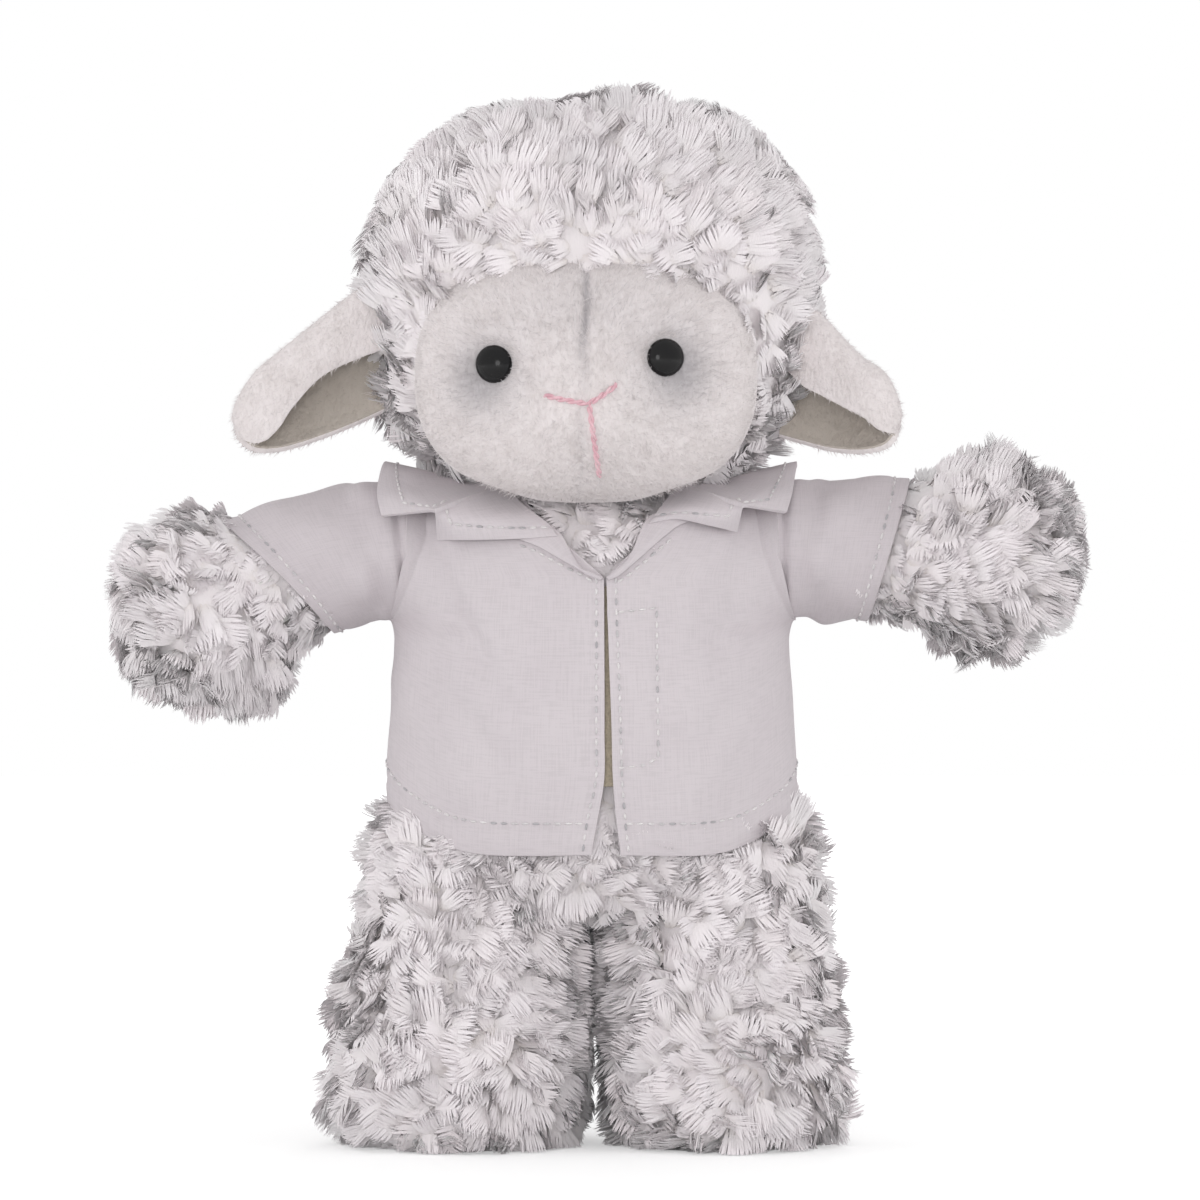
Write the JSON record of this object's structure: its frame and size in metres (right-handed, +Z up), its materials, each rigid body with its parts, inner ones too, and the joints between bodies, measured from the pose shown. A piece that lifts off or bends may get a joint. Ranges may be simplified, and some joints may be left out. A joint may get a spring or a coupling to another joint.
{
  "type": "plush sheep in a coat",
  "caption": "Stuffed standing sheep with curly wool, a smooth face, floppy ears and a white cotton coat that opens at the front; head, arms, legs and ears move.",
  "frame": {"origin": "on the ground, under the middle of the toy's box", "axes": "+Z up, -Y where the face looks, +X to the sheep's own left"},
  "size_m": [0.2339, 0.1059, 0.2527],
  "materials": {
    "wool": "curly long pile",
    "fleece": "short brushed pile",
    "ear_lining": "short brushed pile",
    "cotton": "plain woven cotton",
    "eye": "polished",
    "washer": "moulded",
    "yarn": "twisted yarn",
    "hooks": "hook tape",
    "loops": "loop tape",
    "filling": "loose fibre"
  },
  "bodies": {
    "torso": {"torso_skin": "wool", "torso_stuffing": "filling", "tail": "wool", "coat_back": "cotton", "collar": "cotton"},
    "head": {"head_wool": "wool", "head_stuffing": "filling", "face_panel_left": "fleece", "face_panel_right": "fleece", "eye_left": "eye", "eye_right": "eye", "eye_washer_left": "washer", "eye_washer_right": "washer", "nose_stitch_left": "yarn", "nose_stitch_right": "yarn", "mouth_stitch": "yarn"},
    "ear_left": {"ear_outer_left": "fleece", "ear_lining_left": "ear_lining"},
    "ear_right": {"ear_outer_right": "fleece", "ear_lining_right": "ear_lining"},
    "arm_left": {"arm_skin_left": "wool", "arm_stuffing_left": "filling", "sleeve_left": "cotton"},
    "arm_right": {"arm_skin_right": "wool", "arm_stuffing_right": "filling", "sleeve_right": "cotton"},
    "leg_left": {"leg_skin_left": "wool", "leg_stuffing_left": "filling"},
    "leg_right": {"leg_skin_right": "wool", "leg_stuffing_right": "filling"},
    "coat_front_left": {"coat_front_left": "cotton", "facing_left": "cotton", "hook_strip": "hooks"},
    "coat_front_right": {"coat_front_right": "cotton", "facing_right": "cotton", "loop_strip": "loops"}
  },
  "joints": [
    {"name": "neck_turn", "type": "hinge", "parent": "torso", "child": "head", "pos_m": [0, 0.006, 0.155], "axis": [0, 0, 1], "range_deg": [-20, 20]},
    {"name": "ear_left_flap", "type": "hinge", "parent": "head", "child": "ear_left", "pos_m": [0.0525, -0.007, 0.188], "axis": [0, 0, 1], "range_deg": [-30, 25], "stiffness_Nm_per_rad": 0.004},
    {"name": "ear_right_flap", "type": "hinge", "parent": "head", "child": "ear_right", "pos_m": [-0.0535, -0.007, 0.191], "axis": [0, 0, -1], "range_deg": [-30, 25], "stiffness_Nm_per_rad": 0.004},
    {"name": "shoulder_left", "type": "hinge", "parent": "torso", "child": "arm_left", "pos_m": [0.047, 0.002, 0.1435], "axis": [0, -1, 0], "range_deg": [-25, 14]},
    {"name": "shoulder_right", "type": "hinge", "parent": "torso", "child": "arm_right", "pos_m": [-0.047, 0.002, 0.1435], "axis": [0, 1, 0], "range_deg": [-25, 14]},
    {"name": "hip_left", "type": "hinge", "parent": "torso", "child": "leg_left", "pos_m": [0.0286, 0.004, 0.066], "axis": [-1, 0, 0], "range_deg": [-15, 40]},
    {"name": "hip_right", "type": "hinge", "parent": "torso", "child": "leg_right", "pos_m": [-0.0286, 0.004, 0.066], "axis": [-1, 0, 0], "range_deg": [-15, 40]},
    {"name": "coat_front_left_open", "type": "hinge", "parent": "torso", "child": "coat_front_left", "pos_m": [0.049, 0.005, 0.11], "axis": [0, 0, 1], "range_deg": [0, 50], "deforming": ["coat_front_left", "facing_left"]},
    {"name": "coat_front_right_open", "type": "hinge", "parent": "torso", "child": "coat_front_right", "pos_m": [-0.049, 0.005, 0.11], "axis": [0, 0, -1], "range_deg": [0, 50], "deforming": ["coat_front_right", "facing_right"]}
  ]
}
